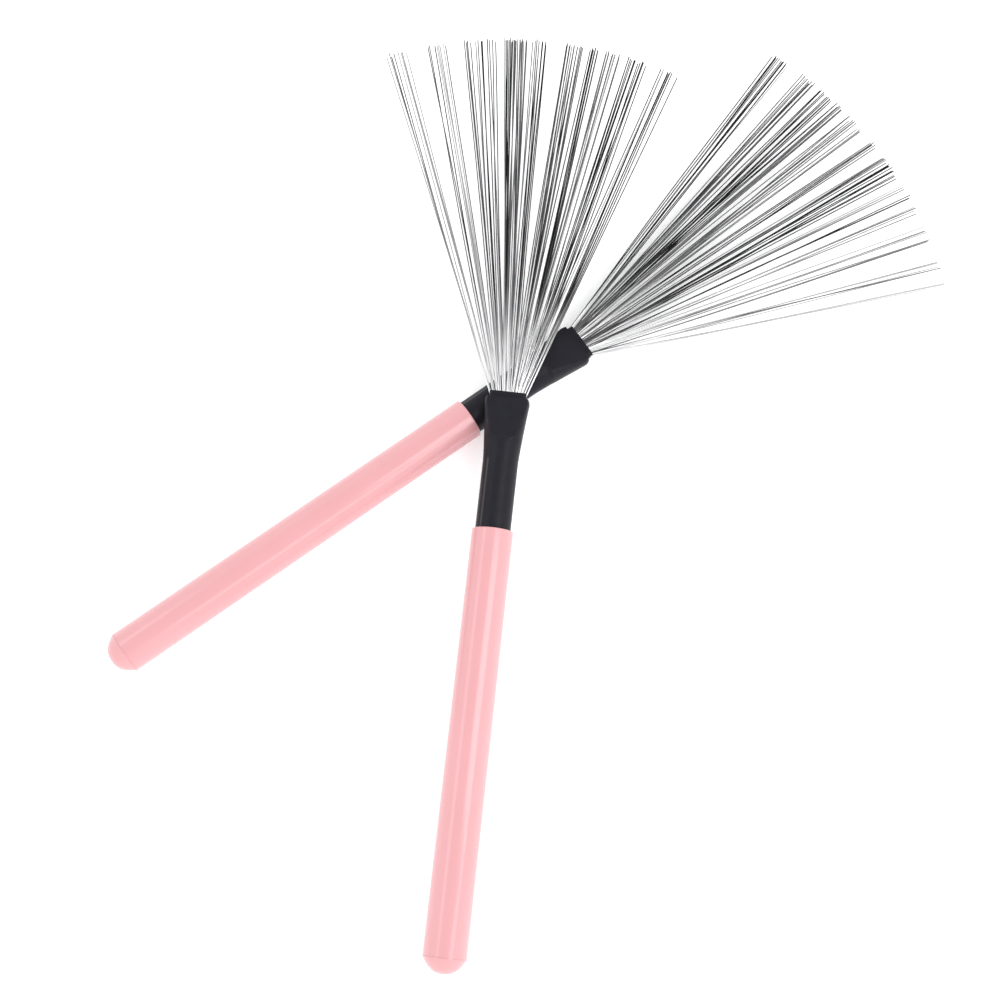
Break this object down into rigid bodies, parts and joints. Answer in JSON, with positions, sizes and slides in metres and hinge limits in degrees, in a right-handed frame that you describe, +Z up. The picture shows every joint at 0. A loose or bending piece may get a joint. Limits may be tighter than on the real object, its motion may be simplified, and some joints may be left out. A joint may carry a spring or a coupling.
{
  "type": "wire drum brushes",
  "caption": "Crossed pair of wire drum brushes lying flat: pink tubular grips with domed ends, black necks pressed flat at the mouth, and fans of springy steel wires.",
  "frame": {"origin": "middle of the pair's footprint on the table it lies on", "axes": "+Z up from the table; +Y the way the upper brush's wires point, nearly along its grip; +X to the right, the side the lower brush's wires point to"},
  "size_m": [0.2942, 0.3294, 0.0243],
  "materials": {
    "pink_plastic": "smooth pastel pink gloss",
    "black_paint": "satin black paint",
    "wire_steel": "bright drawn spring wire",
    "bare_steel": "plain steel",
    "resin": "cured resin"
  },
  "bodies": {
    "lower_brush": {"lower_grip": "pink_plastic", "lower_end_cap": "pink_plastic", "lower_neck_tube": "black_paint", "lower_mouth_ferrule": "black_paint", "lower_wire_bundle": "bare_steel", "lower_crimp_ring": "bare_steel", "lower_resin_plug": "resin"},
    "upper_brush": {"upper_grip": "pink_plastic", "upper_end_cap": "pink_plastic", "upper_neck_tube": "black_paint", "upper_mouth_ferrule": "black_paint", "upper_wire_bundle": "bare_steel", "upper_crimp_ring": "bare_steel", "upper_resin_plug": "resin"},
    "lower_tuft_1": {"lower_wire_tuft_1": "wire_steel"},
    "lower_tuft_2": {"lower_wire_tuft_2": "wire_steel"},
    "lower_tuft_3": {"lower_wire_tuft_3": "wire_steel"},
    "lower_tuft_4": {"lower_wire_tuft_4": "wire_steel"},
    "lower_tuft_5": {"lower_wire_tuft_5": "wire_steel"},
    "lower_tuft_6": {"lower_wire_tuft_6": "wire_steel"},
    "lower_tuft_7": {"lower_wire_tuft_7": "wire_steel"},
    "lower_tuft_8": {"lower_wire_tuft_8": "wire_steel"},
    "upper_tuft_1": {"upper_wire_tuft_1": "wire_steel"},
    "upper_tuft_2": {"upper_wire_tuft_2": "wire_steel"},
    "upper_tuft_3": {"upper_wire_tuft_3": "wire_steel"},
    "upper_tuft_4": {"upper_wire_tuft_4": "wire_steel"},
    "upper_tuft_5": {"upper_wire_tuft_5": "wire_steel"},
    "upper_tuft_6": {"upper_wire_tuft_6": "wire_steel"},
    "upper_tuft_7": {"upper_wire_tuft_7": "wire_steel"},
    "upper_tuft_8": {"upper_wire_tuft_8": "wire_steel"}
  },
  "joints": [
    {"name": "upper_brush_lift", "type": "slide", "parent": "lower_brush", "child": "upper_brush", "axis": [0, 0, 1], "range_m": [0, 0.1]},
    {"name": "lower_tuft_1_flex", "type": "hinge", "parent": "lower_brush", "child": "lower_tuft_1", "pos_m": [0.01531, 0.05399, 0.00709], "axis": [0.5779, -0.8161, 0], "range_deg": [0, 25], "stiffness_Nm_per_rad": 0.022},
    {"name": "lower_tuft_2_flex", "type": "hinge", "parent": "lower_brush", "child": "lower_tuft_2", "pos_m": [0.01531, 0.05399, 0.00709], "axis": [0.5779, -0.8161, 0], "range_deg": [0, 25], "stiffness_Nm_per_rad": 0.022},
    {"name": "lower_tuft_3_flex", "type": "hinge", "parent": "lower_brush", "child": "lower_tuft_3", "pos_m": [0.01531, 0.05399, 0.00709], "axis": [0.5779, -0.8161, 0], "range_deg": [0, 25], "stiffness_Nm_per_rad": 0.022},
    {"name": "lower_tuft_4_flex", "type": "hinge", "parent": "lower_brush", "child": "lower_tuft_4", "pos_m": [0.01531, 0.05399, 0.00709], "axis": [0.5779, -0.8161, 0], "range_deg": [0, 25], "stiffness_Nm_per_rad": 0.022},
    {"name": "lower_tuft_5_flex", "type": "hinge", "parent": "lower_brush", "child": "lower_tuft_5", "pos_m": [0.01531, 0.05399, 0.00709], "axis": [0.5779, -0.8161, 0], "range_deg": [0, 25], "stiffness_Nm_per_rad": 0.022},
    {"name": "lower_tuft_6_flex", "type": "hinge", "parent": "lower_brush", "child": "lower_tuft_6", "pos_m": [0.01531, 0.05399, 0.00709], "axis": [0.5779, -0.8161, 0], "range_deg": [0, 25], "stiffness_Nm_per_rad": 0.022},
    {"name": "lower_tuft_7_flex", "type": "hinge", "parent": "lower_brush", "child": "lower_tuft_7", "pos_m": [0.01531, 0.05399, 0.00709], "axis": [0.5779, -0.8161, 0], "range_deg": [0, 25], "stiffness_Nm_per_rad": 0.022},
    {"name": "lower_tuft_8_flex", "type": "hinge", "parent": "lower_brush", "child": "lower_tuft_8", "pos_m": [0.01531, 0.05399, 0.00709], "axis": [0.5779, -0.8161, 0], "range_deg": [0, 25], "stiffness_Nm_per_rad": 0.022},
    {"name": "upper_tuft_1_flex", "type": "hinge", "parent": "upper_brush", "child": "upper_tuft_1", "pos_m": [-0.01011, 0.03159, 0.01647], "axis": [0.994, -0.1097, 0], "range_deg": [0, 25], "stiffness_Nm_per_rad": 0.022},
    {"name": "upper_tuft_2_flex", "type": "hinge", "parent": "upper_brush", "child": "upper_tuft_2", "pos_m": [-0.01011, 0.03159, 0.01647], "axis": [0.994, -0.1097, 0], "range_deg": [0, 25], "stiffness_Nm_per_rad": 0.022},
    {"name": "upper_tuft_3_flex", "type": "hinge", "parent": "upper_brush", "child": "upper_tuft_3", "pos_m": [-0.01011, 0.03159, 0.01647], "axis": [0.994, -0.1097, 0], "range_deg": [0, 25], "stiffness_Nm_per_rad": 0.022},
    {"name": "upper_tuft_4_flex", "type": "hinge", "parent": "upper_brush", "child": "upper_tuft_4", "pos_m": [-0.01011, 0.03159, 0.01647], "axis": [0.994, -0.1097, 0], "range_deg": [0, 25], "stiffness_Nm_per_rad": 0.022},
    {"name": "upper_tuft_5_flex", "type": "hinge", "parent": "upper_brush", "child": "upper_tuft_5", "pos_m": [-0.01011, 0.03159, 0.01647], "axis": [0.994, -0.1097, 0], "range_deg": [0, 25], "stiffness_Nm_per_rad": 0.022},
    {"name": "upper_tuft_6_flex", "type": "hinge", "parent": "upper_brush", "child": "upper_tuft_6", "pos_m": [-0.01011, 0.03159, 0.01647], "axis": [0.994, -0.1097, 0], "range_deg": [0, 25], "stiffness_Nm_per_rad": 0.022},
    {"name": "upper_tuft_7_flex", "type": "hinge", "parent": "upper_brush", "child": "upper_tuft_7", "pos_m": [-0.01011, 0.03159, 0.01647], "axis": [0.994, -0.1097, 0], "range_deg": [0, 25], "stiffness_Nm_per_rad": 0.022},
    {"name": "upper_tuft_8_flex", "type": "hinge", "parent": "upper_brush", "child": "upper_tuft_8", "pos_m": [-0.01011, 0.03159, 0.01647], "axis": [0.994, -0.1097, 0], "range_deg": [0, 25], "stiffness_Nm_per_rad": 0.022}
  ]
}
